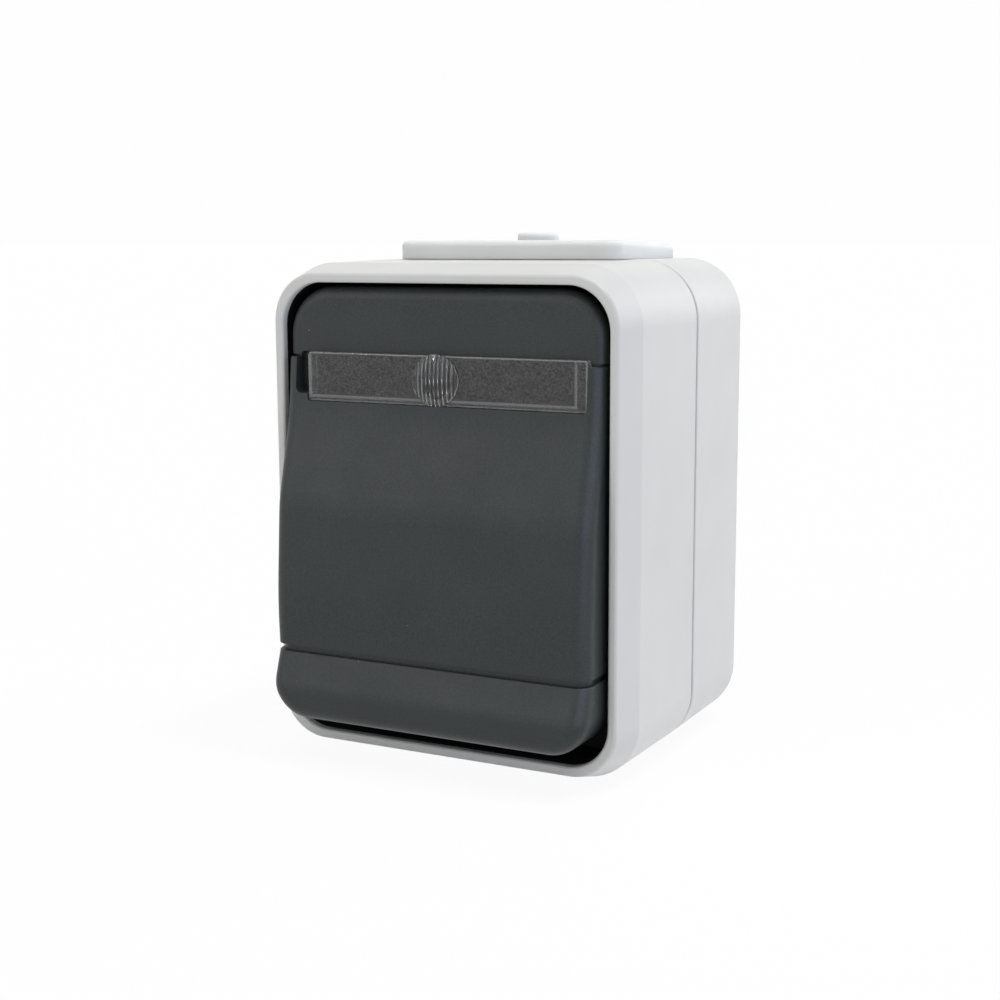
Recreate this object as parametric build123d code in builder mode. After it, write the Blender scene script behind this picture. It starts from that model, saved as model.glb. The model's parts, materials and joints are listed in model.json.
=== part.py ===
from build123d import *
from math import atan, degrees, radians, sqrt
import os

# Illuminated push button switch, splash-proof, for mounting on a wall. Sizes are in millimetres.
# The origin is the centre of the back face. +X runs right, +Y into the wall and +Z up.
# A depth is a distance out from the wall, so what lies at depth d has y = -d.

# Housing: base on the wall, frame in front of it
housing_width = 66.0
housing_height = 82.6
corner_radius = 9.9
housing_wall = 2.2
back_wall = 2.4
base_depth = 20.9
joint_gap = 0.8
frame_depth = 28.0
flank_draft = 0.31
chamfer_inset = 1.63
chamfer_depth = 5.8
chamfer_edge_radius = 1.6
band_width = 1.5
band_edge_radius = 0.6
lip_thickness = 1.4
lip_edge_radius = 0.55
opening_radius = 7.1
joint_edge_radius = 0.3

# Gasket in the joint between base and frame
gasket_inset = 0.3
gasket_width = 1.3

# Shelf at the bottom of the rocker's well, with the window that the mechanism comes through
well_depth = 12.3
shelf_thickness = 2.0
window_width = 38.6
window_top = 27.6
window_bottom = -20.0
window_skirt = 1.3
window_radius = 2.0

# Black liner of the well
liner_wall = 0.95
liner_floor = 1.0

# Slack between moulded parts that are pushed together
slip = 0.1
seat_gap = 0.05

# Screws that hold the frame on the base, under the liner
frame_screw_inset = 8.7
boss_radius = 3.6
frame_screw_radius = 1.5
frame_head_radius = 2.8
frame_head_height = 2.2
frame_head_seat = 2.3
thread_depth = 12.0
driver_slot_width = 0.6

# Slots in the back wall for the wall screws
wall_slot_spacing = 66.0
wall_slot_width = 4.3
wall_slot_length = 8.0

# Cable gland: soft plate that slides into the top wall of the base
gland_width = 42.3
gland_rear = 0.05
gland_overhang = 5.6
gland_height = 3.25
gland_slope = 0.85
gland_lift = 0.05
gland_corner_radius = 2.8
gland_top_radius = 1.0
gland_neck_width = 32.0
gland_neck_rear = 4.5
gland_flange_margin = 2.5
gland_flange_thickness = 1.6
nub_radius = 3.6
nub_height = 1.25
nub_edge_radius = 0.6
nub_skin = 0.8

# Rocker: pressing its lower half tilts it about the pivot
pivot_below_front = 14.7
press_angle = 7.0
rocker_side_gap = 0.75
rocker_top_gap = 0.6
rocker_bottom_gap = 3.5
rocker_corner_radius = 8.0
rocker_foot_radius = 6.6
land_edge_radius = 2.1
face_edge_radius = 2.6
step_edge_radius = 0.3
rocker_wall = 2.0
skirt_clearance = 1.1

# Rocker face, as height over the frame's band at a distance below the rocker's top edge
land_top_height = -0.7
land_bottom_height = -0.4
land_length = 11.6
strip_zone_height = 0.6
ramp_start_drop = 20.8
ramp_start_height = 1.4
ramp_end_drop = 35.3
ramp_end_height = 4.95
crown_drop = 52.3
crown_height = 6.1
lip_drop = 60.4
lip_joint_height = 5.7
lip_knee_drop = 66.1
lip_height = 7.6
ramp_start_bend = 30.0
ramp_end_bend = 22.0
crown_bend = 80.0
lip_bend = 6.0

# Grooves across the rocker
land_groove_width = 0.35
land_groove_depth = 0.3
lip_groove_width = 1.1
lip_groove_depth = 0.6

# Pocket in the rocker, with the clear label window and the lens
pocket_width = 50.5
pocket_height = 8.1
pocket_drop = 10.65
pocket_depth = 2.2
pocket_corner_radius = 0.6
pry_slot_width = 2.3
pry_slot_lift = 1.2
pry_slot_radius = 1.1
label_proud = 0.2
label_face = 0.8
label_side_wall = 0.8
label_left_wall = 0.45
label_right_wall = 1.9
label_edge_radius = 0.15
lens_radius = 4.15
lens_proud = 1.0
lens_rim = 0.35
lens_drop = 14.6
lens_flutes = 10
lens_flute_pitch = 0.74
lens_flute_radius = 0.24
stem_radius = 2.9
stem_length = 3.3
stem_slack = 0.15

# Cradle that carries the rocker
cradle_width = 30.0
cradle_top = 16.0
cradle_bottom = -17.0
cradle_thickness = 2.0
cradle_front_above_pivot = 6.5
cheek_thickness = 2.0
cheek_radius = 2.7
pivot_radius = 1.25
pivot_clearance = 0.05
clip_rib_spacing = 21.6
clip_rib_thickness = 1.6
clip_rib_end = 1.4
hook_reach = 0.9
hook_height = 1.2
nose_drop = 14.0
nose_radius = 1.5
nose_width = 5.6
stop_rise = 12.0
stop_width = 6.0

# Insert: the block that holds the mechanism
insert_width = 44.0
insert_top = 29.4
insert_bottom = -25.0
insert_standoff = 9.0
insert_depth = 20.0
insert_radius = 2.0
insert_floor = 2.0
cover_thickness = 2.0
lug_thickness = 3.0
lug_height = 8.0
post_inset = 5.3
post_radius = 3.4
insert_screw_radius = 1.7
insert_screw_length = 8.0
insert_head_radius = 3.0
insert_head_height = 2.0
ear_gap = 0.3
ear_thickness = 2.2

# Plunger, spring and contacts
stem_side = 6.4
flange_width = 9.0
flange_height = 8.0
flange_thickness = 1.6
guide_pin_radius = 1.4
guide_pin_length = 7.0
contact_reach = 8.0
contact_strip_width = 4.4
contact_strip_thickness = 0.8
contact_level = 5.3
bridge_overhang = 2.0
rivet_radius = 1.6
rivet_height = 0.6
spring_radius = 2.3
spring_wire = 0.35
spring_turns = 5
well_margin = 0.9

# Terminals and lamp
terminal_spacing = 34.0
terminal_height = 20.0
terminal_width = 7.6
terminal_length = 8.5
terminal_screw_radius = 1.6
terminal_head_radius = 2.5
terminal_head_height = 2.0
terminal_screw_length = 7.0
wire_hole_radius = 1.8
lamp_holder_radius = 3.6
lamp_foot_radius = 4.0
lamp_foot_height = 1.5
lamp_holder_height = 10.0
lamp_socket_depth = 7.5
lamp_radius = 2.5
lamp_gap = 0.9
lead_spacing = 2.4
lead_thickness = 0.5
lead_width = 1.2
lead_level = 5.0

# Earth terminal on the floor of the base
earth_x = -18.0
earth_z = -33.0
earth_pedestal = 2.6
earth_pedestal_margin = 1.2
earth_size = 7.5
earth_height = 6.0
earth_screw_length = 3.0
earth_screw_proud = 1.2

# Depths that follow from the sizes above
frame_rear = base_depth + joint_gap
front = frame_rear + frame_depth
flank_length = frame_depth - chamfer_depth
flank_end = front - chamfer_depth
shelf_front = front - well_depth
shelf_rear = shelf_front - shelf_thickness
liner_front = front - lip_thickness
pivot_depth = front - pivot_below_front
insert_front = insert_standoff + insert_depth
cover_front = insert_front + cover_thickness

# Half sizes of the housing at the front
half_width = housing_width / 2
half_height = housing_height / 2
band_inset = flank_draft + chamfer_inset
opening_width = housing_width - 2 * (band_inset + band_width)
opening_height = housing_height - 2 * (band_inset + band_width)
well_width = opening_width + 2 * (liner_wall + seat_gap)
well_height = opening_height + 2 * (liner_wall + seat_gap)
well_radius = opening_radius + liner_wall + seat_gap
inner_width = housing_width - 2 * housing_wall
inner_height = housing_height - 2 * housing_wall
inner_radius = corner_radius - housing_wall
frame_screw_x = half_width - frame_screw_inset
frame_screw_z = half_height - frame_screw_inset
frame_screw_spots = [(-frame_screw_x, frame_screw_z), (frame_screw_x, -frame_screw_z)]
post_x = inner_width / 2 - post_inset
post_spots = [(-post_x, 0), (post_x, 0)]
window_height = window_top - window_bottom
window_centre = (window_top + window_bottom) / 2

# Rocker outline
rocker_width = opening_width - 2 * rocker_side_gap
rocker_top = opening_height / 2 - rocker_top_gap
rocker_bottom = -opening_height / 2 + rocker_bottom_gap
rocker_height = rocker_top - rocker_bottom
rocker_centre = (rocker_top + rocker_bottom) / 2
press_drop = rocker_height * radians(press_angle)
skirt_top_depth = shelf_front + liner_floor + skirt_clearance
skirt_bottom_depth = skirt_top_depth + press_drop / 2
land_end = rocker_top - land_length
lip_joint = rocker_top - lip_drop
pocket_top = rocker_top - pocket_drop
pocket_bottom = pocket_top - pocket_height
pocket_floor = front + strip_zone_height - pocket_depth
pocket_centre = pry_slot_width / 2
label_z = (pocket_top + pocket_bottom) / 2
lens_z = rocker_top - lens_drop
cradle_front = pivot_depth + cradle_front_above_pivot
cradle_rear = cradle_front - cradle_thickness
stem_rear = front + strip_zone_height - stem_length

# Contacts: the gap between them is the plunger's travel and a hair more
plunger_travel = nose_drop * radians(press_angle)
plunger_front = pivot_depth - nose_radius - seat_gap
strip_rear = insert_standoff + insert_floor + contact_level
strip_front = strip_rear + contact_strip_thickness
moving_rivet_rear = strip_front + rivet_height + plunger_travel + seat_gap
bridge_rear = moving_rivet_rear + rivet_height
bridge_front = bridge_rear + contact_strip_thickness
plunger_flange_front = bridge_front + flange_thickness
spring_floor = insert_standoff + insert_floor
terminal_spots = [(-terminal_spacing / 2, terminal_height), (terminal_spacing / 2, terminal_height)]
lamp_seat = cover_front + lamp_holder_height - lamp_socket_depth
lamp_tip = stem_rear - lamp_gap

os.makedirs("parts", exist_ok=True)


def at_depth(depth):
    """Plane parallel to the wall, seen from the front, at a depth out from it."""
    return Plane.XZ.offset(depth)


def skirt_depth(z):
    """Depth of the rocker skirt's rear edge, which is slanted so that it clears the liner when pressed."""
    share = (rocker_top - z) / rocker_height
    return skirt_top_depth + share * (skirt_bottom_depth - skirt_top_depth)


def front_rim(block, splits):
    """Edges round the face of a rocker block, without those where it joins the next block."""
    rim = []
    for edge in block.edges():
        box = edge.bounding_box()
        joins = any(abs(box.min.Z - z) < 0.001 and abs(box.max.Z - z) < 0.001 for z in splits)
        if box.max.Y < -(front + land_top_height - 0.01) and not joins:
            rim.append(edge)
    return rim


def level_rim(block, z):
    """Front edges of a rocker block at the height z, where it joins the block above."""
    rim = []
    for edge in block.edges():
        box = edge.bounding_box()
        level = abs(box.min.Z - z) < 0.001 and abs(box.max.Z - z) < 0.001
        if level and box.max.Y < -(front - land_edge_radius):
            rim.append(edge)
    return rim


# Housing base, open to the front
with BuildPart() as housing_base:
    with BuildSketch(at_depth(0)):
        RectangleRounded(housing_width, housing_height, corner_radius)
    extrude(amount=base_depth)
    fillet(housing_base.faces().sort_by(Axis.Y)[0].edges(), joint_edge_radius)
    with BuildSketch(at_depth(back_wall)):
        RectangleRounded(inner_width, inner_height, inner_radius)
    extrude(amount=base_depth, mode=Mode.SUBTRACT)
    with BuildSketch(at_depth(back_wall - seat_gap)):
        with Locations(*post_spots):
            Circle(post_radius)
    extrude(amount=insert_standoff - back_wall + seat_gap)
    with BuildSketch(at_depth(insert_standoff - insert_screw_length)):
        with Locations(*post_spots):
            Circle(insert_screw_radius)
    extrude(amount=insert_screw_length, mode=Mode.SUBTRACT)
    with BuildSketch(at_depth(back_wall - seat_gap)):
        with Locations(*frame_screw_spots):
            Circle(boss_radius)
    extrude(amount=base_depth - back_wall + seat_gap)
    with BuildSketch(at_depth(base_depth - thread_depth)):
        with Locations(*frame_screw_spots):
            Circle(frame_screw_radius)
    extrude(amount=thread_depth, mode=Mode.SUBTRACT)
    with BuildSketch(at_depth(back_wall - seat_gap)):
        with Locations((earth_x, earth_z)):
            Rectangle(earth_size + 2 * earth_pedestal_margin, earth_size)
    extrude(amount=earth_pedestal + seat_gap)
    with BuildSketch(at_depth(0)):
        with Locations((0, wall_slot_spacing / 2), (0, -wall_slot_spacing / 2)):
            SlotOverall(wall_slot_length, wall_slot_width, rotation=90)
    extrude(amount=back_wall, mode=Mode.SUBTRACT)
    with BuildSketch(at_depth(gland_neck_rear)):
        with Locations((0, half_height)):
            Rectangle(gland_neck_width, 4 * housing_wall)
    extrude(amount=base_depth, mode=Mode.SUBTRACT)
housing_base.part.label = "housing_base"
export_step(housing_base.part, "parts/housing_base.step")

# Housing frame: drafted flank, long chamfer, flat band round the opening
with BuildPart() as housing_frame:
    with BuildSketch(at_depth(frame_rear)):
        RectangleRounded(housing_width, housing_height, corner_radius)
    extrude(amount=flank_length, taper=degrees(atan(flank_draft / flank_length)))
    with BuildSketch(at_depth(flank_end)):
        RectangleRounded(
            housing_width - 2 * flank_draft, housing_height - 2 * flank_draft, corner_radius - flank_draft
        )
    extrude(amount=chamfer_depth, taper=degrees(atan(chamfer_inset / chamfer_depth)))
    fillet(housing_frame.faces().sort_by(Axis.Y)[0].edges(), band_edge_radius)
    level_edges = housing_frame.edges().filter_by(lambda edge: edge.bounding_box().size.Y < 0.001)
    chamfer_edges = level_edges.filter_by(lambda edge: abs(edge.center().Y + flank_end) < 0.001)
    fillet(chamfer_edges, chamfer_edge_radius)
    with BuildSketch(at_depth(frame_rear)):
        RectangleRounded(inner_width, inner_height, inner_radius)
    extrude(amount=shelf_rear - frame_rear, mode=Mode.SUBTRACT)
    with BuildSketch(at_depth(shelf_front)):
        RectangleRounded(well_width, well_height, well_radius)
    extrude(amount=liner_front - shelf_front, mode=Mode.SUBTRACT)
    with BuildSketch(at_depth(shelf_front)):
        RectangleRounded(opening_width, opening_height, opening_radius)
    extrude(amount=well_depth, mode=Mode.SUBTRACT)
    with BuildSketch(at_depth(cover_front + slip)):
        with Locations((0, window_centre)):
            RectangleRounded(
                window_width + 2 * window_skirt,
                window_height + 2 * window_skirt,
                window_radius + window_skirt,
            )
    extrude(amount=shelf_rear - cover_front)
    with BuildSketch(at_depth(base_depth + seat_gap)):
        with Locations(*frame_screw_spots):
            Circle(boss_radius)
    extrude(amount=shelf_rear - base_depth)
    with BuildSketch(at_depth(cover_front)):
        with Locations((0, window_centre)):
            RectangleRounded(window_width, window_height, window_radius)
    extrude(amount=shelf_front - cover_front, mode=Mode.SUBTRACT)
    with BuildSketch(at_depth(base_depth)):
        with Locations(*frame_screw_spots):
            Circle(frame_screw_radius + slip)
    extrude(amount=shelf_front - base_depth, mode=Mode.SUBTRACT)
    with BuildSketch(at_depth(shelf_front - frame_head_seat)):
        with Locations(*frame_screw_spots):
            Circle(frame_head_radius + slip)
    extrude(amount=frame_head_seat, mode=Mode.SUBTRACT)
    opening_rim = housing_frame.faces().sort_by(Axis.Y)[0].inner_wires()[0].edges()
    fillet(opening_rim, lip_edge_radius)
housing_frame.part.label = "housing_frame"
export_step(housing_frame.part, "parts/housing_frame.step")

# Rubber gasket, set back from the flank so that the joint shows as a fine line
with BuildPart() as parting_gasket:
    with BuildSketch(at_depth(base_depth)):
        RectangleRounded(
            housing_width - 2 * gasket_inset, housing_height - 2 * gasket_inset, corner_radius - gasket_inset
        )
        RectangleRounded(
            housing_width - 2 * (gasket_inset + gasket_width),
            housing_height - 2 * (gasket_inset + gasket_width),
            corner_radius - gasket_inset - gasket_width,
            mode=Mode.SUBTRACT,
        )
    extrude(amount=joint_gap)
parting_gasket.part.label = "parting_gasket"
export_step(parting_gasket.part, "parts/parting_gasket.step")

# Black liner that hides the inside of the frame behind the rocker
with BuildPart() as sealing_liner:
    with BuildSketch(at_depth(shelf_front)):
        RectangleRounded(
            opening_width + 2 * liner_wall, opening_height + 2 * liner_wall, opening_radius + liner_wall
        )
    extrude(amount=liner_front - shelf_front)
    with BuildSketch(at_depth(shelf_front + liner_floor)):
        RectangleRounded(opening_width, opening_height, opening_radius)
    extrude(amount=liner_front - shelf_front, mode=Mode.SUBTRACT)
    with BuildSketch(at_depth(shelf_front)):
        with Locations((0, window_centre)):
            RectangleRounded(window_width, window_height, window_radius)
    extrude(amount=liner_floor, mode=Mode.SUBTRACT)
sealing_liner.part.label = "sealing_liner"
export_step(sealing_liner.part, "parts/sealing_liner.step")

# Cable gland: sloping plate on the top wall, neck in the wall's cut-out, flange under the wall
gland_front = frame_rear + gland_overhang - joint_gap
gland_centre = (gland_front + gland_rear) / 2
inner_top = half_height - housing_wall
with BuildPart() as cable_gland:
    with BuildSketch(Plane.YZ):
        with BuildLine():
            Polyline(
                (-gland_rear, half_height),
                (-base_depth, half_height),
                (-base_depth, half_height + gland_lift),
                (-gland_front, half_height + gland_lift),
                (-gland_front, half_height + gland_height),
                (-gland_rear, half_height + gland_height - gland_slope),
                close=True,
            )
        make_face()
    extrude(amount=gland_width / 2, both=True)
    plate_corners = cable_gland.edges().filter_by(Axis.Z).filter_by(
        lambda edge: abs(edge.center().Y + gland_rear) < 0.01 or abs(edge.center().Y + gland_front) < 0.01
    )
    fillet(plate_corners, gland_corner_radius)
    fillet(cable_gland.faces().sort_by(Axis.Z)[-1].edges(), gland_top_radius)
    with BuildSketch(at_depth(gland_neck_rear + slip)):
        with Locations((0, half_height - housing_wall / 2)):
            Rectangle(gland_neck_width - 2 * slip, housing_wall + seat_gap)
        with Locations((0, inner_top - gland_flange_thickness / 2)):
            Rectangle(gland_neck_width + 2 * gland_flange_margin, gland_flange_thickness)
    extrude(amount=base_depth - gland_neck_rear - 2 * slip)
    with BuildSketch(Plane.XY.offset(half_height + gland_height / 2)):
        with Locations((0, -gland_centre)):
            Circle(nub_radius)
    extrude(amount=gland_height / 2 + nub_height)
    fillet(cable_gland.faces().sort_by(Axis.Z)[-1].edges(), nub_edge_radius)
    with BuildSketch(Plane.XY.offset(inner_top - gland_flange_thickness)):
        with Locations((0, -gland_centre)):
            Circle(nub_radius - nub_skin)
    extrude(
        amount=gland_height + nub_height + housing_wall + gland_flange_thickness - nub_skin,
        mode=Mode.SUBTRACT,
    )
cable_gland.part.label = "cable_gland"
export_step(cable_gland.part, "parts/cable_gland.step")

# Screws through the shelf into the bosses of the base
with BuildPart() as frame_screws:
    with BuildSketch(at_depth(base_depth - thread_depth + slip)):
        with Locations(*frame_screw_spots):
            Circle(frame_screw_radius - seat_gap)
    extrude(amount=shelf_front - frame_head_seat - base_depth + thread_depth - slip)
    with BuildSketch(at_depth(shelf_front - frame_head_seat)):
        with Locations(*frame_screw_spots):
            Circle(frame_head_radius)
    extrude(amount=frame_head_height)
    with BuildSketch(at_depth(shelf_front - frame_head_seat + frame_head_height / 2)):
        with Locations(*frame_screw_spots):
            Rectangle(2 * frame_head_radius - slip, driver_slot_width, rotation=45)
    extrude(amount=frame_head_height, mode=Mode.SUBTRACT)
frame_screws.part.label = "frame_screws"
export_step(frame_screws.part, "parts/frame_screws.step")

# Rocker blocks, each with its own rounded rim: top land, main face and lip
with BuildPart() as land_block:
    with BuildSketch(Plane.YZ):
        with BuildLine():
            Polyline(
                (-skirt_depth(rocker_top), rocker_top),
                (-(front + land_top_height), rocker_top),
                (-(front + land_bottom_height), land_end),
                (-skirt_depth(land_end), land_end),
                close=True,
            )
        make_face()
    extrude(amount=rocker_width / 2, both=True)
    with BuildSketch(at_depth(shelf_front)):
        with Locations((0, rocker_centre)):
            RectangleRounded(rocker_width, rocker_height, rocker_corner_radius)
    extrude(amount=2 * well_depth, mode=Mode.INTERSECT)
    fillet(front_rim(land_block.part, [land_end]), land_edge_radius)

with BuildPart() as main_block:
    with BuildSketch(Plane.YZ):
        with BuildLine():
            face = FilletPolyline(
                (-(front + strip_zone_height), land_end),
                (-(front + ramp_start_height), rocker_top - ramp_start_drop),
                (-(front + ramp_end_height), rocker_top - ramp_end_drop),
                (-(front + crown_height), rocker_top - crown_drop),
                (-(front + lip_joint_height), lip_joint),
                radius=[ramp_start_bend, ramp_end_bend, crown_bend],
            )
            Polyline(
                face @ 1,
                (-skirt_depth(lip_joint), lip_joint),
                (-skirt_depth(land_end), land_end),
                face @ 0,
            )
        make_face()
    extrude(amount=rocker_width / 2, both=True)
    fillet(front_rim(main_block.part, [land_end, lip_joint]), face_edge_radius)
    fillet(level_rim(main_block.part, land_end), step_edge_radius)

with BuildPart() as lip_block:
    with BuildSketch(Plane.YZ):
        with BuildLine():
            lip = FilletPolyline(
                (-(front + lip_joint_height), lip_joint),
                (-(front + lip_height), rocker_top - lip_knee_drop),
                (-(front + lip_height), rocker_bottom),
                radius=lip_bend,
            )
            Polyline(
                lip @ 1,
                (-skirt_depth(rocker_bottom), rocker_bottom),
                (-skirt_depth(lip_joint), lip_joint),
                lip @ 0,
            )
        make_face()
    extrude(amount=rocker_width / 2, both=True)
    with BuildSketch(at_depth(shelf_front)):
        with Locations((0, rocker_centre)):
            RectangleRounded(rocker_width, rocker_height, rocker_foot_radius)
    extrude(amount=2 * well_depth, mode=Mode.INTERSECT)
    fillet(front_rim(lip_block.part, [lip_joint]), face_edge_radius)
    fillet(level_rim(lip_block.part, lip_joint), step_edge_radius)

# Hollow behind the rocker's face
inner_face = [
    (front + strip_zone_height - pocket_depth - rocker_wall / 2, rocker_top - rocker_wall),
    (front + strip_zone_height - pocket_depth - rocker_wall / 2, pocket_bottom - rocker_wall / 2),
    (front + ramp_end_height - rocker_wall, rocker_top - ramp_end_drop),
    (front + crown_height - rocker_wall, rocker_top - crown_drop),
    (front + lip_joint_height - rocker_wall, lip_joint),
    (front + lip_height - rocker_wall, rocker_bottom + rocker_wall),
]


def inner_depth(z):
    """Depth of the rocker's inner face at height z."""
    for (depth_a, z_a), (depth_b, z_b) in zip(inner_face, inner_face[1:]):
        if z_b <= z <= z_a:
            return depth_a + (z_a - z) / (z_a - z_b) * (depth_b - depth_a)
    return inner_face[-1][0]


with BuildPart() as rocker_hollow:
    with BuildSketch(Plane.YZ):
        with BuildLine():
            Polyline(
                (-shelf_rear, rocker_top - rocker_wall),
                *[(-depth, z) for depth, z in inner_face],
                (-shelf_rear, rocker_bottom + rocker_wall),
                close=True,
            )
        make_face()
    extrude(amount=rocker_width / 2, both=True)
    with BuildSketch(at_depth(shelf_rear)):
        with Locations((0, rocker_centre)):
            RectangleRounded(
                rocker_width - 2 * rocker_wall,
                rocker_height - 2 * rocker_wall,
                rocker_corner_radius - rocker_wall,
            )
    extrude(amount=2 * well_depth, mode=Mode.INTERSECT)

# Rocker cap: the dark push plate, with ribs behind it whose hooks hold the cradle's plate
rib_top = cradle_top + slip + clip_rib_end
rib_bottom = cradle_bottom - slip - clip_rib_end
with BuildPart() as rocker_cap:
    add(land_block.part)
    add(main_block.part)
    add(lip_block.part)
    add(rocker_hollow.part, mode=Mode.SUBTRACT)
    for groove_bottom, groove_width, groove_depth, face_depth in (
        (land_end, land_groove_width, land_groove_depth, front + land_bottom_height),
        (lip_joint, lip_groove_width, lip_groove_depth, front + lip_joint_height),
    ):
        with BuildSketch(Plane.XY.offset(groove_bottom)):
            with Locations((0, -front)):
                Rectangle(rocker_width + well_depth, 2 * well_depth)
            with Locations((0, -(face_depth - groove_depth - well_depth))):
                RectangleRounded(
                    rocker_width - 2 * groove_depth, 2 * well_depth, face_edge_radius, mode=Mode.SUBTRACT
                )
        extrude(amount=groove_width, mode=Mode.SUBTRACT)
    with BuildSketch(at_depth(pocket_floor)):
        with Locations((pocket_centre, label_z)):
            RectangleRounded(pocket_width, pocket_height, pocket_corner_radius)
        with Locations((pocket_centre - pocket_width / 2, label_z + pry_slot_lift / 2)):
            RectangleRounded(2 * pry_slot_width, pocket_height - pry_slot_lift, pry_slot_radius)
    extrude(amount=well_depth, mode=Mode.SUBTRACT)
    with BuildSketch(at_depth(shelf_front)):
        with Locations((0, lens_z)):
            Circle(stem_radius + stem_slack)
    extrude(amount=well_depth, mode=Mode.SUBTRACT)
    for rib_x in (-clip_rib_spacing / 2, clip_rib_spacing / 2):
        with BuildSketch(Plane.YZ.offset(rib_x - clip_rib_thickness / 2)):
            with BuildLine():
                Polyline(
                    (-cradle_front, cradle_top + slip),
                    (-(cradle_rear - slip), cradle_top + slip),
                    (-(cradle_rear - slip), cradle_top + slip - hook_reach),
                    (-(cradle_rear - slip - hook_height), cradle_top + slip),
                    (-(cradle_rear - slip - hook_height), rib_top),
                    (-(inner_depth(rib_top) + rocker_wall / 4), rib_top),
                    (-(front + ramp_end_height - rocker_wall * 3 / 4), rocker_top - ramp_end_drop),
                    (-(inner_depth(rib_bottom) + rocker_wall / 4), rib_bottom),
                    (-(cradle_rear - slip - hook_height), rib_bottom),
                    (-(cradle_rear - slip - hook_height), cradle_bottom - slip),
                    (-(cradle_rear - slip), cradle_bottom - slip + hook_reach),
                    (-(cradle_rear - slip), cradle_bottom - slip),
                    (-cradle_front, cradle_bottom - slip),
                    close=True,
                )
            make_face()
        extrude(amount=clip_rib_thickness)
rocker_cap.part.label = "rocker_cap"
export_step(rocker_cap.part, "parts/rocker_cap.step")

# Clear label window: a thin face on a low wall all round, clipped into the pocket
label_width = pocket_width - 2 * seat_gap
label_height = pocket_height - 2 * seat_gap
label_rear = pocket_floor + seat_gap
label_front = front + strip_zone_height + label_proud
with BuildPart() as label_window:
    with BuildSketch(at_depth(label_rear)):
        with Locations((pocket_centre, label_z)):
            RectangleRounded(label_width, label_height, pocket_corner_radius - seat_gap)
    extrude(amount=label_front - label_rear)
    fillet(label_window.faces().sort_by(Axis.Y)[0].edges(), label_edge_radius)
    with BuildSketch(at_depth(label_rear)):
        with Locations((pocket_centre + (label_left_wall - label_right_wall) / 2, label_z)):
            Rectangle(label_width - label_left_wall - label_right_wall, label_height - 2 * label_side_wall)
    extrude(amount=label_front - label_face - label_rear, mode=Mode.SUBTRACT)
    with BuildSketch(at_depth(label_rear)):
        with Locations((0, lens_z)):
            Circle(stem_radius + stem_slack)
    extrude(amount=label_front - label_rear, mode=Mode.SUBTRACT)
label_window.part.label = "label_window"
export_step(label_window.part, "parts/label_window.step")

# Lens: shallow dome on a short rim, fluted from top to bottom, with a stem that reaches back to the lamp
dome_rise = lens_proud - lens_rim
dome_radius = (lens_radius**2 + dome_rise**2) / (2 * dome_rise)
lens_front = label_front + lens_proud
dome_centre = lens_front - dome_radius
with BuildPart() as lens:
    with BuildSketch(Plane.XY):
        with BuildLine():
            Polyline(
                (0, -lens_front),
                (0, -stem_rear),
                (stem_radius, -stem_rear),
                (stem_radius, -(label_front + seat_gap)),
                (lens_radius, -(label_front + seat_gap)),
                (lens_radius, -(label_front + lens_rim)),
            )
            RadiusArc((lens_radius, -(label_front + lens_rim)), (0, -lens_front), dome_radius)
        make_face()
    revolve(axis=Axis.Y)
    for flute in range(lens_flutes):
        flute_x = (flute - (lens_flutes - 1) / 2) * lens_flute_pitch
        with BuildSketch(Plane.XY):
            with Locations((flute_x, -(dome_centre + sqrt(dome_radius**2 - flute_x**2)))):
                Circle(lens_flute_radius)
        revolve(axis=Axis((0, -dome_centre, 0), (1, 0, 0)), mode=Mode.SUBTRACT)
lens.part.position = (0, 0, lens_z)
lens.part.label = "lens"
export_step(lens.part, "parts/lens.step")

# Cradle: plate under the rocker, two cheeks on the pivot, a pressing nose and a stop
with BuildPart() as rocker_cradle:
    with BuildSketch(at_depth(cradle_rear)):
        with Locations((0, (cradle_top + cradle_bottom) / 2)):
            RectangleRounded(cradle_width, cradle_top - cradle_bottom, window_radius)
    extrude(amount=cradle_thickness)
    for cheek_x in (-cradle_width / 2, cradle_width / 2 - cheek_thickness):
        with BuildSketch(Plane.YZ.offset(cheek_x)):
            with Locations((-pivot_depth, 0)):
                Circle(cheek_radius)
            with Locations((-(pivot_depth + cradle_rear) / 2, 0)):
                Rectangle(cradle_rear - pivot_depth + seat_gap, 2 * cheek_radius)
        extrude(amount=cheek_thickness)
    with BuildSketch(Plane.YZ.offset(-nose_width / 2)):
        with Locations((-pivot_depth, -nose_drop)):
            Circle(nose_radius)
        with Locations((-(pivot_depth + cradle_rear) / 2, -nose_drop)):
            Rectangle(cradle_rear - pivot_depth + seat_gap, 2 * nose_radius)
    extrude(amount=nose_width)
    with BuildSketch(at_depth(cover_front + seat_gap)):
        with Locations((0, stop_rise)):
            Rectangle(stop_width, 2 * nose_radius)
    extrude(amount=cradle_rear - cover_front)
    with BuildSketch(Plane.YZ.offset(-cradle_width / 2)):
        with Locations((-pivot_depth, 0)):
            Circle(pivot_radius + pivot_clearance)
    extrude(amount=cradle_width, mode=Mode.SUBTRACT)
rocker_cradle.part.label = "rocker_cradle"
export_step(rocker_cradle.part, "parts/rocker_cradle.step")

# Pivot pin, held in the ears of the insert cover
ear_inner = cradle_width / 2 + ear_gap
ear_outer = ear_inner + ear_thickness
with BuildPart() as pivot_pin:
    with BuildSketch(Plane.YZ.offset(-ear_outer)):
        with Locations((-pivot_depth, 0)):
            Circle(pivot_radius)
    extrude(amount=2 * ear_outer)
pivot_pin.part.label = "pivot_pin"
export_step(pivot_pin.part, "parts/pivot_pin.step")

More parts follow.
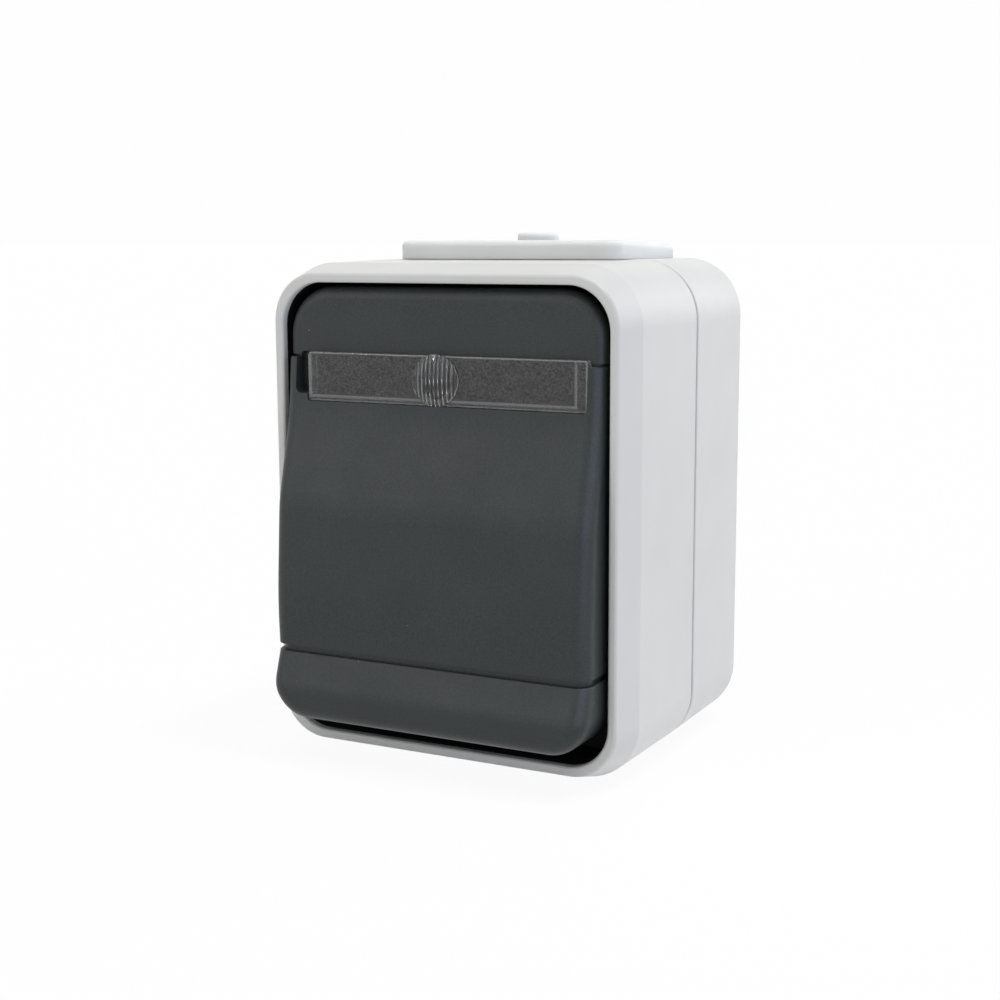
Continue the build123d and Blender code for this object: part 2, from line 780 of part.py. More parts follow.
# Insert body: moulded block with chambers for the mechanism, the contacts and the terminals
insert_height = insert_top - insert_bottom
insert_centre = (insert_top + insert_bottom) / 2
chamber_width = 2 * (contact_reach + bridge_overhang + rivet_radius)
chamber_height = flange_height + 2 * well_margin
channel_width = contact_strip_width + 2 * slip
with BuildPart() as insert_body:
    with BuildSketch(at_depth(insert_standoff)):
        with Locations((0, insert_centre)):
            RectangleRounded(insert_width, insert_height, insert_radius)
    extrude(amount=insert_depth)
    with BuildSketch(at_depth(insert_standoff)):
        RectangleRounded(2 * (post_x + post_radius), lug_height, post_radius)
    extrude(amount=lug_thickness)
    with BuildSketch(at_depth(insert_standoff)):
        with Locations(*post_spots):
            Circle(insert_screw_radius + slip)
    extrude(amount=lug_thickness, mode=Mode.SUBTRACT)
    with BuildSketch(at_depth(insert_standoff + lug_thickness)):
        with Locations(*post_spots):
            Circle(insert_head_radius + slip)
    extrude(amount=insert_depth, mode=Mode.SUBTRACT)
    with BuildSketch(at_depth(spring_floor)):
        with Locations((0, -nose_drop)):
            Rectangle(2 * (spring_radius + spring_wire + well_margin), chamber_height)
    extrude(amount=insert_depth, mode=Mode.SUBTRACT)
    with BuildSketch(at_depth(strip_rear)):
        with Locations((0, -nose_drop)):
            Rectangle(chamber_width, chamber_height)
        for side in (-1, 1):
            with Locations((side * (chamber_width + terminal_spacing) / 4, -nose_drop)):
                Rectangle((terminal_spacing - chamber_width) / 2 + contact_strip_width, channel_width)
            with Locations((side * terminal_spacing / 2, (terminal_height - nose_drop) / 2)):
                Rectangle(channel_width, terminal_height + nose_drop + contact_strip_width)
    extrude(amount=insert_depth, mode=Mode.SUBTRACT)
    with BuildSketch(at_depth(spring_floor)):
        with Locations(*terminal_spots):
            Rectangle(terminal_width + 4 * slip, terminal_length + 4 * slip)
    extrude(amount=insert_depth, mode=Mode.SUBTRACT)
    with BuildSketch(at_depth(strip_front + lead_level)):
        with Locations((0, lens_z)):
            Rectangle(terminal_spacing - terminal_width + slip, lead_width + 4 * slip)
    extrude(amount=insert_depth, mode=Mode.SUBTRACT)
    with BuildSketch(Plane.XY.offset(terminal_height)):
        with Locations(*[(x, -(spring_floor + contact_level / 2)) for x, z in terminal_spots]):
            Circle(wire_hole_radius)
    extrude(amount=insert_top, mode=Mode.SUBTRACT)
insert_body.part.label = "insert_body"
export_step(insert_body.part, "parts/insert_body.step")

# Insert cover with the bearing ears
with BuildPart() as insert_cover:
    with BuildSketch(at_depth(insert_front)):
        with Locations((0, insert_centre)):
            RectangleRounded(insert_width, insert_height, insert_radius)
    extrude(amount=cover_thickness)
    for ear_x in (-ear_outer, ear_inner):
        with BuildSketch(Plane.YZ.offset(ear_x)):
            with Locations((-pivot_depth, 0)):
                Circle(cheek_radius)
            with Locations((-(pivot_depth + cover_front) / 2, 0)):
                Rectangle(pivot_depth - cover_front + seat_gap, 2 * cheek_radius)
        extrude(amount=ear_thickness)
    with BuildSketch(Plane.YZ.offset(-ear_outer)):
        with Locations((-pivot_depth, 0)):
            Circle(pivot_radius)
    extrude(amount=2 * ear_outer, mode=Mode.SUBTRACT)
    with BuildSketch(at_depth(insert_front)):
        with Locations((0, -nose_drop)):
            Rectangle(stem_side + 2 * slip, stem_side + 2 * slip)
        with Locations((0, lens_z)):
            Rectangle(lead_spacing + 2 * lead_width, lead_width + 4 * slip)
        with Locations(*terminal_spots):
            Circle(terminal_head_radius + slip)
    extrude(amount=cover_thickness, mode=Mode.SUBTRACT)
insert_cover.part.label = "insert_cover"
export_step(insert_cover.part, "parts/insert_cover.step")

# Screws through the insert's lugs into the posts of the base
with BuildPart() as insert_screws:
    with BuildSketch(at_depth(insert_standoff - insert_screw_length + slip)):
        with Locations(*post_spots):
            Circle(insert_screw_radius - seat_gap)
    extrude(amount=insert_screw_length + lug_thickness - slip)
    with BuildSketch(at_depth(insert_standoff + lug_thickness)):
        with Locations(*post_spots):
            Circle(insert_head_radius)
    extrude(amount=insert_head_height)
    with BuildSketch(at_depth(insert_standoff + lug_thickness + insert_head_height / 2)):
        with Locations(*post_spots):
            Rectangle(2 * insert_head_radius - slip, driver_slot_width, rotation=45)
    extrude(amount=insert_head_height, mode=Mode.SUBTRACT)
insert_screws.part.label = "insert_screws"
export_step(insert_screws.part, "parts/insert_screws.step")

# Plunger: square stem, flange that carries the bridge, guide pin inside the spring
with BuildPart() as plunger:
    with BuildSketch(at_depth(plunger_flange_front)):
        with Locations((0, -nose_drop)):
            Rectangle(stem_side, stem_side)
    extrude(amount=plunger_front - plunger_flange_front)
    with BuildSketch(at_depth(bridge_front)):
        with Locations((0, -nose_drop)):
            Rectangle(flange_width, flange_height)
    extrude(amount=flange_thickness)
    with BuildSketch(at_depth(bridge_front - guide_pin_length)):
        with Locations((0, -nose_drop)):
            Circle(guide_pin_radius)
    extrude(amount=guide_pin_length)
plunger.part.label = "plunger"
export_step(plunger.part, "parts/plunger.step")

# Contact bridge behind the flange
bridge_length = 2 * (contact_reach + bridge_overhang)
with BuildPart() as contact_bridge:
    with BuildSketch(at_depth(bridge_rear)):
        with Locations((0, -nose_drop)):
            RectangleRounded(bridge_length, contact_strip_width, contact_strip_width / 4)
            Circle(guide_pin_radius + seat_gap, mode=Mode.SUBTRACT)
    extrude(amount=contact_strip_thickness)
contact_bridge.part.label = "contact_bridge"
export_step(contact_bridge.part, "parts/contact_bridge.step")

rivet_spots = [(-contact_reach, -nose_drop), (contact_reach, -nose_drop)]
with BuildPart() as moving_rivets:
    with BuildSketch(at_depth(moving_rivet_rear)):
        with Locations(*rivet_spots):
            Circle(rivet_radius)
    extrude(amount=rivet_height)
moving_rivets.part.label = "moving_rivets"
export_step(moving_rivets.part, "parts/moving_rivets.step")

with BuildPart() as fixed_rivets:
    with BuildSketch(at_depth(strip_front)):
        with Locations(*rivet_spots):
            Circle(rivet_radius)
    extrude(amount=rivet_height)
fixed_rivets.part.label = "fixed_rivets"
export_step(fixed_rivets.part, "parts/fixed_rivets.step")


def contact_strip(side):
    """Fixed contact on one side: an L from under the bridge up to the terminal."""
    inner_x = contact_reach - rivet_radius
    outer_x = terminal_spacing / 2 + contact_strip_width / 2
    strip_top = terminal_height + terminal_length / 2
    with BuildPart() as strip:
        with BuildSketch(at_depth(strip_rear)):
            with Locations((side * (inner_x + outer_x) / 2, -nose_drop)):
                Rectangle(outer_x - inner_x, contact_strip_width)
            with Locations((side * terminal_spacing / 2, (strip_top - nose_drop) / 2)):
                Rectangle(contact_strip_width, strip_top + nose_drop)
            with Locations((side * terminal_spacing / 2, terminal_height)):
                Circle(terminal_screw_radius + slip, mode=Mode.SUBTRACT)
        extrude(amount=contact_strip_thickness)
    return strip.part


line_contact = contact_strip(-1)
line_contact.label = "line_contact"
export_step(line_contact, "parts/line_contact.step")
load_contact = contact_strip(1)
load_contact.label = "load_contact"
export_step(load_contact, "parts/load_contact.step")


def terminal_clamp(x):
    """Brass clamp under a fixed contact, with a bore for the wire and one for its screw."""
    with BuildPart() as clamp:
        with BuildSketch(at_depth(spring_floor)):
            with Locations((x, terminal_height)):
                Rectangle(terminal_width, terminal_length)
        extrude(amount=contact_level)
        with BuildSketch(Plane.XY.offset(terminal_height - terminal_length / 2)):
            with Locations((x, -(spring_floor + contact_level / 2))):
                Circle(wire_hole_radius)
        extrude(amount=terminal_length, mode=Mode.SUBTRACT)
        with BuildSketch(at_depth(spring_floor + contact_level / 2)):
            with Locations((x, terminal_height)):
                Circle(terminal_screw_radius)
        extrude(amount=contact_level, mode=Mode.SUBTRACT)
    return clamp.part


line_clamp = terminal_clamp(-terminal_spacing / 2)
line_clamp.label = "line_clamp"
export_step(line_clamp, "parts/line_clamp.step")
load_clamp = terminal_clamp(terminal_spacing / 2)
load_clamp.label = "load_clamp"
export_step(load_clamp, "parts/load_clamp.step")

screw_tip = strip_rear - contact_level / 4
screw_head = screw_tip + terminal_screw_length
with BuildPart() as terminal_screws:
    with BuildSketch(at_depth(screw_tip)):
        with Locations(*terminal_spots):
            Circle(terminal_screw_radius - seat_gap)
    extrude(amount=terminal_screw_length)
    with BuildSketch(at_depth(screw_head)):
        with Locations(*terminal_spots):
            Circle(terminal_head_radius)
    extrude(amount=terminal_head_height)
    with BuildSketch(at_depth(screw_head + terminal_head_height / 2)):
        with Locations(*terminal_spots):
            Rectangle(2 * terminal_head_radius - slip, driver_slot_width)
    extrude(amount=terminal_head_height, mode=Mode.SUBTRACT)
terminal_screws.part.label = "terminal_screws"
export_step(terminal_screws.part, "parts/terminal_screws.step")

# Return spring between the insert's floor and the bridge
spring_height = bridge_rear - spring_floor - 2 * spring_wire - 2 * seat_gap
with BuildPart() as return_spring:
    with BuildLine():
        coil = Helix(pitch=spring_height / spring_turns, height=spring_height, radius=spring_radius)
    with BuildSketch(Plane(origin=coil @ 0, z_dir=coil % 0)):
        Circle(spring_wire)
    sweep(path=coil, is_frenet=True)
spring_rest = Plane(origin=(0, -(spring_floor + spring_wire + seat_gap), -nose_drop), z_dir=(0, -1, 0))
return_spring.part.location = spring_rest.location
return_spring.part.label = "return_spring"
export_step(return_spring.part, "parts/return_spring.step")

# Lamp holder on the cover, lamp in it, and leads down to the contacts
with BuildPart() as lamp_holder:
    with BuildSketch(at_depth(cover_front)):
        with Locations((0, lens_z)):
            Circle(lamp_foot_radius)
    extrude(amount=lamp_foot_height)
    with BuildSketch(at_depth(cover_front)):
        with Locations((0, lens_z)):
            Circle(lamp_holder_radius)
    extrude(amount=lamp_holder_height)
    with BuildSketch(at_depth(lamp_seat)):
        with Locations((0, lens_z)):
            Circle(lamp_radius + seat_gap)
    extrude(amount=lamp_holder_height, mode=Mode.SUBTRACT)
    with BuildSketch(at_depth(cover_front)):
        with Locations((-lead_spacing / 2, lens_z), (lead_spacing / 2, lens_z)):
            Rectangle(lead_thickness + 2 * seat_gap, lead_width + 2 * seat_gap)
    extrude(amount=lamp_holder_height, mode=Mode.SUBTRACT)
lamp_holder.part.label = "lamp_holder"
export_step(lamp_holder.part, "parts/lamp_holder.step")

with BuildPart() as lamp:
    with BuildSketch(Plane.XY):
        with BuildLine():
            Polyline(
                (0, -lamp_tip),
                (0, -lamp_seat),
                (lamp_radius, -lamp_seat),
                (lamp_radius, -(lamp_tip - lamp_radius)),
            )
            RadiusArc((lamp_radius, -(lamp_tip - lamp_radius)), (0, -lamp_tip), lamp_radius)
        make_face()
    revolve(axis=Axis.Y)
lamp.part.position = (0, 0, lens_z)
lamp.part.label = "lamp"
export_step(lamp.part, "parts/lamp.step")

lead_shelf = strip_front + lead_level
lead_foot_x = (terminal_spacing - contact_strip_width) / 2 + lead_width / 4
lead_leg_x = (terminal_spacing - terminal_width) / 2 + lead_thickness
with BuildPart() as lamp_leads:
    with BuildSketch(Plane.XY.offset(lens_z - lead_width / 2)):
        for side in (-1, 1):
            with BuildLine():
                Polyline(
                    (side * (lead_spacing - lead_thickness) / 2, -lamp_seat),
                    (side * (lead_spacing + lead_thickness) / 2, -lamp_seat),
                    (side * (lead_spacing + lead_thickness) / 2, -(lead_shelf + 2 * lead_thickness)),
                    (side * lead_leg_x, -(lead_shelf + 2 * lead_thickness)),
                    (side * lead_leg_x, -(strip_front + lead_thickness)),
                    (side * lead_foot_x, -(strip_front + lead_thickness)),
                    (side * lead_foot_x, -strip_front),
                    (side * (lead_leg_x - lead_thickness), -strip_front),
                    (side * (lead_leg_x - lead_thickness), -(lead_shelf + lead_thickness)),
                    (side * (lead_spacing - lead_thickness) / 2, -(lead_shelf + lead_thickness)),
                    close=True,
                )
            make_face()
    extrude(amount=lead_width)
lamp_leads.part.label = "lamp_leads"
export_step(lamp_leads.part, "parts/lamp_leads.step")

# Earth terminal: brass block on its pedestal, with a screw
earth_floor = back_wall + earth_pedestal
with BuildPart() as earth_clamp:
    with BuildSketch(at_depth(earth_floor)):
        with Locations((earth_x, earth_z)):
            Rectangle(earth_size, earth_size)
    extrude(amount=earth_height)
    with BuildSketch(Plane.YZ.offset(earth_x - earth_size / 2)):
        with Locations((-(earth_floor + earth_height / 2), earth_z)):
            Circle(wire_hole_radius)
    extrude(amount=earth_size, mode=Mode.SUBTRACT)
    with BuildSketch(at_depth(earth_floor + earth_height / 2)):
        with Locations((earth_x, earth_z)):
            Circle(terminal_screw_radius)
    extrude(amount=earth_height, mode=Mode.SUBTRACT)
earth_clamp.part.label = "earth_clamp"
export_step(earth_clamp.part, "parts/earth_clamp.step")

earth_head = earth_floor + earth_height + earth_screw_proud
with BuildPart() as earth_screw:
    with BuildSketch(at_depth(earth_head - earth_screw_length)):
        with Locations((earth_x, earth_z)):
            Circle(terminal_screw_radius - seat_gap)
    extrude(amount=earth_screw_length)
    with BuildSketch(at_depth(earth_head)):
        with Locations((earth_x, earth_z)):
            Circle(terminal_head_radius)
    extrude(amount=terminal_head_height)
    with BuildSketch(at_depth(earth_head + terminal_head_height / 2)):
        with Locations((earth_x, earth_z)):
            Rectangle(2 * terminal_head_radius - slip, driver_slot_width)
    extrude(amount=terminal_head_height, mode=Mode.SUBTRACT)
earth_screw.part.label = "earth_screw"
export_step(earth_screw.part, "parts/earth_screw.step")
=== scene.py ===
import json
from math import cos, pi, radians, sin

import bmesh
import bpy
from mathutils import Matrix, Vector

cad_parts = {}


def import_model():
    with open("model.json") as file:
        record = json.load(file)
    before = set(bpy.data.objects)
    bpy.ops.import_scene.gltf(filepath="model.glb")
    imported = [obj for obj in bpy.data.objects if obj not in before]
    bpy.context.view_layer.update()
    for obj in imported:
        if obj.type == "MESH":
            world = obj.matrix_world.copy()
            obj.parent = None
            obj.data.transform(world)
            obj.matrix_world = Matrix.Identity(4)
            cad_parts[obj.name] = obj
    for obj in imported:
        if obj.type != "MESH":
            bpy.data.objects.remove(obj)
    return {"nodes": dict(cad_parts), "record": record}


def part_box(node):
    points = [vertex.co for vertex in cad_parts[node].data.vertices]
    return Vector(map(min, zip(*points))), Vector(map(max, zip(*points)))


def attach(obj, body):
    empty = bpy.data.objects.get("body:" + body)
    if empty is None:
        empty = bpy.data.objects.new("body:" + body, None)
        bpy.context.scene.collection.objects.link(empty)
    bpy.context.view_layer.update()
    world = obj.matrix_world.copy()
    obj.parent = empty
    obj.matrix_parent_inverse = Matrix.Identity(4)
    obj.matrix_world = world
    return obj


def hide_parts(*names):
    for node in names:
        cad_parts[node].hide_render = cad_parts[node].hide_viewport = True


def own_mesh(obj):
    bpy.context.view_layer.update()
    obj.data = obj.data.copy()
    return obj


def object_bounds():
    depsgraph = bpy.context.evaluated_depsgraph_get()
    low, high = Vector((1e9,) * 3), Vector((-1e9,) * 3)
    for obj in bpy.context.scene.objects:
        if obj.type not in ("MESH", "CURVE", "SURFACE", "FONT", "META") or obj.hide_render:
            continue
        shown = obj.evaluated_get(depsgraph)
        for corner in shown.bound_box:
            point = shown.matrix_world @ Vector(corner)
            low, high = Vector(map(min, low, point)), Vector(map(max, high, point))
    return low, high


# Looks of a surface-mounted push button switch with a clear label window and a ribbed lens.
# Lengths are in metres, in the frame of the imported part: +X right, +Y into the wall, +Z up.

MM = 0.001

# Camera, at the photograph's viewing angle
CAMERA_AZIMUTH = radians(27.286)
CAMERA_ELEVATION = radians(9.128)
CAMERA_ROLL = radians(-0.213)
CAMERA_DISTANCE = 306.41 * MM
CAMERA_ASIDE = 12.967 * MM
CAMERA_DOWN = 3.749 * MM
SENSOR_WIDTH = 36.0
FOCAL_LENGTH = 58.767
NEAREST_SEEN = 0.01
FARTHEST_SEEN = 50.0

# Studio
FLOOR_SIZE = 40.0
FLOOR_GREY = 0.86
FLOOR_WHITE = 1.0
FLOOR_SHADOW_SHARE = 0.06
BACKDROP_WHITE = 0.99
ROOM_LIGHT = 0.15
ROOM_COLOUR = (1.0, 1.0, 0.98)

# Moulded plastic and rubber: sizes of the cloudiness, of the patches that differ in gloss and of the ripple
CLOUD_SIZE = 14 * MM
GLOSS_PATCH_SIZE = 5 * MM
RIPPLE_SIZE = 3.5 * MM

# Bare metal: bloom, and tool marks with the roughness that they take away at most, or add
BLOOM_SIZE = 1.6 * MM
TOOL_MARK_SIZE = 0.35 * MM
TOOL_MARK_DEPTH = 0.004 * MM
SMOOTHER_MARK = 0.08
ROUGHER_MARK = 0.12

# Dark rocker: spots in its grain, and dust on it
GRAIN_SPOT_SIZE = 0.3 * MM
GRAIN_CONTRAST = 0.2
DUST_SPACING = 6 * MM
DUST_SIZE = 0.12 * MM

# Walls of the label window, as wide as in the solid, and the painted highlight lines along their edges,
# whitened into the base colour
WINDOW_WALL = 0.8 * MM
WINDOW_LEFT_WALL = 0.45 * MM
WINDOW_RIGHT_WALL = 1.9 * MM
WINDOW_HIGHLIGHT_WIDTH = 0.3 * MM
WINDOW_INNER_HIGHLIGHT = 0.6

# Clear plastic: refraction, speckle of the label field and the fine unevenness of the surfaces
PLASTIC_IOR = 1.49
SPECKLE_SIZE = 0.28 * MM
SPECKLE_START = 0.36
SPECKLE_END = 0.64
WINDOW_PATCH_SIZE = 0.6 * MM
LENS_PATCH_SIZE = 0.8 * MM
LENS_WAVE_SIZE = 0.5 * MM
LENS_WAVE_DEPTH = 0.002 * MM

# Lamp glass
GLASS_IOR = 1.45
SMOKE_SIZE = 2 * MM
GLASS_PATCH_SIZE = 1 * MM

# Return spring
MERGE_DISTANCE = 0.001 * MM

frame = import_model()
nodes = frame["nodes"]
cad_low, cad_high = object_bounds()


# Colours and node helpers

def tint(red, green, blue):
    """A screen colour, 0 to 255 a channel, as a linear colour for a shader."""
    return tuple(
        (c / 255 / 12.92) if c / 255 <= 0.04045 else ((c / 255 + 0.055) / 1.055) ** 2.4
        for c in (red, green, blue)
    ) + (1.0,)


def new_material(name):
    """A material with only its principled shader, and what is needed to add to it."""
    material = bpy.data.materials.new(name)
    material.use_nodes = True
    tree = material.node_tree
    return material, tree, tree.nodes["Principled BSDF"]


def set_inputs(shader, **values):
    """Sets sockets by their names, written with underscores."""
    for name, value in values.items():
        shader.inputs[name.replace("_", " ")].default_value = value


def feed(tree, socket, value):
    """Links a socket to another node's output, or sets it to a plain value."""
    if isinstance(value, bpy.types.NodeSocket):
        tree.links.new(value, socket)
    else:
        socket.default_value = value


def place(tree, scale=(1, 1, 1)):
    """Object coordinates of the piece, stretched by a scale."""
    where = tree.nodes.new("ShaderNodeTexCoord")
    mapping = tree.nodes.new("ShaderNodeMapping")
    mapping.inputs["Scale"].default_value = scale
    tree.links.new(where.outputs["Object"], mapping.inputs["Vector"])
    return mapping.outputs["Vector"]


def noise(tree, size, detail, scale=(1, 1, 1)):
    """Cloudy noise whose lumps are about size across, in metres."""
    texture = tree.nodes.new("ShaderNodeTexNoise")
    texture.inputs["Scale"].default_value = 1 / size
    texture.inputs["Detail"].default_value = detail
    tree.links.new(place(tree, scale), texture.inputs["Vector"])
    return texture.outputs["Fac"]


def spread(tree, value, low, high, start=0.3, end=0.7):
    """A value that goes from start to end, most often a noise, spread from low to high."""
    ramp = tree.nodes.new("ShaderNodeMapRange")
    ramp.inputs["From Min"].default_value = start
    ramp.inputs["From Max"].default_value = end
    ramp.inputs["To Min"].default_value = low
    ramp.inputs["To Max"].default_value = high
    tree.links.new(value, ramp.inputs["Value"])
    return ramp.outputs["Result"]


def between(tree, factor, first, second, blend="MIX"):
    """Colour between two colours by a factor. Each one is a plain value or another node's output."""
    mix = tree.nodes.new("ShaderNodeMix")
    mix.data_type = "RGBA"
    mix.blend_type = blend
    feed(tree, mix.inputs["Factor"], factor)
    feed(tree, mix.inputs["A"], first)
    feed(tree, mix.inputs["B"], second)
    return mix.outputs["Result"]


def plain_math(tree, operation, *terms):
    """One arithmetic step. Each term is a number or another node's output."""
    step = tree.nodes.new("ShaderNodeMath")
    step.operation = operation
    for socket, term in zip(step.inputs, terms):
        feed(tree, socket, term)
    return step.outputs[0]


def roughen(tree, shader, height, depth, normal=None):
    """Bump on a shader, of a depth in metres, on top of an earlier normal. Returns the new normal."""
    bump = tree.nodes.new("ShaderNodeBump")
    bump.inputs["Strength"].default_value = 1.0
    bump.inputs["Distance"].default_value = depth
    tree.links.new(height, bump.inputs["Height"])
    if normal is not None:
        tree.links.new(normal, bump.inputs["Normal"])
    tree.links.new(bump.outputs["Normal"], shader.inputs["Normal"])
    return bump.outputs["Normal"]


def rectangle_line(tree, low_x, high_x, low_z, high_z, width):
    """1 on the outline of an upright rectangle, falling to 0 within a width on both sides."""
    axes = tree.nodes.new("ShaderNodeSeparateXYZ")
    tree.links.new(place(tree), axes.inputs[0])
    inside = []
    for axis, low, high in (("X", low_x, high_x), ("Z", low_z, high_z)):
        from_middle = plain_math(tree, "SUBTRACT", axes.outputs[axis], (low + high) / 2)
        off = plain_math(tree, "ABSOLUTE", from_middle)
        inside.append(plain_math(tree, "SUBTRACT", (high - low) / 2, off))
    depth = plain_math(tree, "ABSOLUTE", plain_math(tree, "MINIMUM", *inside))
    return spread(tree, depth, 1, 0, width / 2, width)


def moulded(name, light, dark, roughness, unevenness, grain, grain_depth, ripple_depth, **settings):
    """Moulded plastic or rubber: faintly cloudy, uneven in gloss, spark-eroded and slightly rippled."""
    material, tree, shader = new_material(name)
    cloud = spread(tree, noise(tree, CLOUD_SIZE, 3), 0, 1)
    feed(tree, shader.inputs["Base Color"], between(tree, cloud, light, dark))
    patches = noise(tree, GLOSS_PATCH_SIZE, 4)
    uneven = spread(tree, patches, roughness - unevenness, roughness + unevenness)
    feed(tree, shader.inputs["Roughness"], uneven)
    ripple = roughen(tree, shader, noise(tree, RIPPLE_SIZE, 1), ripple_depth)
    roughen(tree, shader, noise(tree, grain, 2), grain_depth, ripple)
    set_inputs(shader, **settings)
    return material


def bare_metal(name, bright, dull, roughness, brush=(1, 1, 1)):
    """Stamped or turned metal with a duller bloom and fine tool marks. A brush packs them along an axis."""
    material, tree, shader = new_material(name)
    set_inputs(shader, Metallic=1.0)
    bloom = spread(tree, noise(tree, BLOOM_SIZE, 4), 0, 1)
    feed(tree, shader.inputs["Base Color"], between(tree, bloom, bright, dull))
    marks = noise(tree, TOOL_MARK_SIZE, 3, brush)
    uneven = spread(tree, marks, roughness - SMOOTHER_MARK, roughness + ROUGHER_MARK)
    feed(tree, shader.inputs["Roughness"], uneven)
    roughen(tree, shader, marks, TOOL_MARK_DEPTH)
    return material


# Finishes

def housing_grey():
    """Light grey moulded housing, satin."""
    return moulded(
        "housing_grey",
        light=tint(212, 212, 209),
        dark=tint(208, 208, 205),
        roughness=0.37,
        unevenness=0.04,
        grain=0.16 * MM,
        grain_depth=0.0012 * MM,
        ripple_depth=0.006 * MM,
        IOR=1.5,
        Specular_IOR_Level=0.45,
    )


def gasket_rubber():
    """Grey-green rubber in the joint."""
    return moulded(
        "gasket_rubber",
        light=tint(150, 154, 140),
        dark=tint(138, 142, 130),
        roughness=0.75,
        unevenness=0.05,
        grain=0.1 * MM,
        grain_depth=0.004 * MM,
        ripple_depth=0.01 * MM,
        Specular_IOR_Level=0.25,
    )


def gland_rubber():
    """Soft light grey plastic of the cable gland, which lets some light in."""
    return moulded(
        "gland_rubber",
        light=tint(228, 229, 227),
        dark=tint(222, 223, 221),
        roughness=0.52,
        unevenness=0.06,
        grain=0.22 * MM,
        grain_depth=0.004 * MM,
        ripple_depth=0.02 * MM,
        Specular_IOR_Level=0.35,
        Subsurface_Weight=0.6,
        Subsurface_Scale=2.5 * MM,
        Subsurface_Radius=(1, 1, 1),
    )


def black_rubber():
    """Matt black rubber of the liner in the well, its tint pushed darker as painted shade for the deep gap
    round the rocker.
    """
    return moulded(
        "black_rubber",
        # Partly painted shade: the black is darkened so that the gap round the rocker reads as deep shadow
        light=tint(14, 14, 15),
        dark=tint(9, 9, 10),
        roughness=0.7,
        unevenness=0.08,
        grain=0.2 * MM,
        grain_depth=0.006 * MM,
        ripple_depth=0.01 * MM,
        Specular_IOR_Level=0.25,
    )


def rocker_anthracite():
    """Dark grey push plate with a fine spark-eroded grain and a few specks of dust."""
    material = moulded(
        "rocker_anthracite",
        light=tint(47, 51, 51),
        dark=tint(43, 47, 47),
        roughness=0.44,
        unevenness=0.04,
        grain=0.13 * MM,
        grain_depth=0.005 * MM,
        ripple_depth=0.004 * MM,
        IOR=1.5,
        Specular_IOR_Level=0.32,
    )
    tree = material.node_tree
    colour = tree.nodes["Principled BSDF"].inputs["Base Color"]
    plain = colour.links[0].from_socket
    spots = spread(tree, noise(tree, GRAIN_SPOT_SIZE, 2), 1 - GRAIN_CONTRAST, 1 + GRAIN_CONTRAST)
    grained = between(tree, 1.0, plain, spots, "MULTIPLY")
    cells = tree.nodes.new("ShaderNodeTexVoronoi")
    cells.inputs["Scale"].default_value = 1 / DUST_SPACING
    tree.links.new(place(tree), cells.inputs["Vector"])
    speck_size = DUST_SIZE / DUST_SPACING
    speck = spread(tree, cells.outputs["Distance"], 1, 0, speck_size / 2, speck_size)
    feed(tree, colour, between(tree, speck, grained, tint(132, 130, 128)))
    return material


def insert_black():
    """Matt black mechanism parts."""
    return moulded(
        "insert_black",
        light=tint(38, 38, 40),
        dark=tint(31, 31, 33),
        roughness=0.55,
        unevenness=0.06,
        grain=0.2 * MM,
        grain_depth=0.006 * MM,
        ripple_depth=0.01 * MM,
    )


def insert_ivory():
    """Ivory thermoset of the insert, with its mottled skin."""
    return moulded(
        "insert_ivory",
        light=tint(226, 221, 204),
        dark=tint(212, 206, 187),
        roughness=0.5,
        unevenness=0.08,
        grain=0.18 * MM,
        grain_depth=0.005 * MM,
        ripple_depth=0.015 * MM,
    )


def clear_plastic():
    """Hazy clear plastic of the label window, with painted highlight lines: its base colour turns near
    white along the edges of its walls.
    """
    material, tree, shader = new_material("clear_plastic")
    set_inputs(shader, IOR=PLASTIC_IOR, Transmission_Weight=0.82)
    low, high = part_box("label_window")
    outer_highlight = rectangle_line(tree, low[0], high[0], low[2], high[2], WINDOW_HIGHLIGHT_WIDTH)
    inner_highlight = rectangle_line(
        tree,
        low[0] + WINDOW_LEFT_WALL,
        high[0] - WINDOW_RIGHT_WALL,
        low[2] + WINDOW_WALL,
        high[2],
        WINDOW_HIGHLIGHT_WIDTH,
    )
    fainter_inner_highlight = plain_math(tree, "MULTIPLY", inner_highlight, WINDOW_INNER_HIGHLIGHT)
    painted_highlights = plain_math(tree, "MAXIMUM", outer_highlight, fainter_inner_highlight)
    speckle = spread(tree, noise(tree, SPECKLE_SIZE, 3), 0, 1, SPECKLE_START, SPECKLE_END)
    haze = between(tree, speckle, tint(144, 144, 143), tint(66, 66, 65))
    # Painted highlights: the base colour is whitened along the outer and inner outlines of the window
    feed(tree, shader.inputs["Base Color"], between(tree, painted_highlights, haze, tint(250, 250, 248)))
    feed(tree, shader.inputs["Roughness"], spread(tree, noise(tree, WINDOW_PATCH_SIZE, 3), 0.1, 0.18))
    return material


def lens_plastic():
    """Clear polished plastic of the lens."""
    material, tree, shader = new_material("lens_plastic")
    set_inputs(shader, Base_Color=tint(186, 186, 184), IOR=PLASTIC_IOR, Transmission_Weight=1.0)
    feed(tree, shader.inputs["Roughness"], spread(tree, noise(tree, LENS_PATCH_SIZE, 2), 0.05, 0.1))
    roughen(tree, shader, noise(tree, LENS_WAVE_SIZE, 2), LENS_WAVE_DEPTH)
    return material


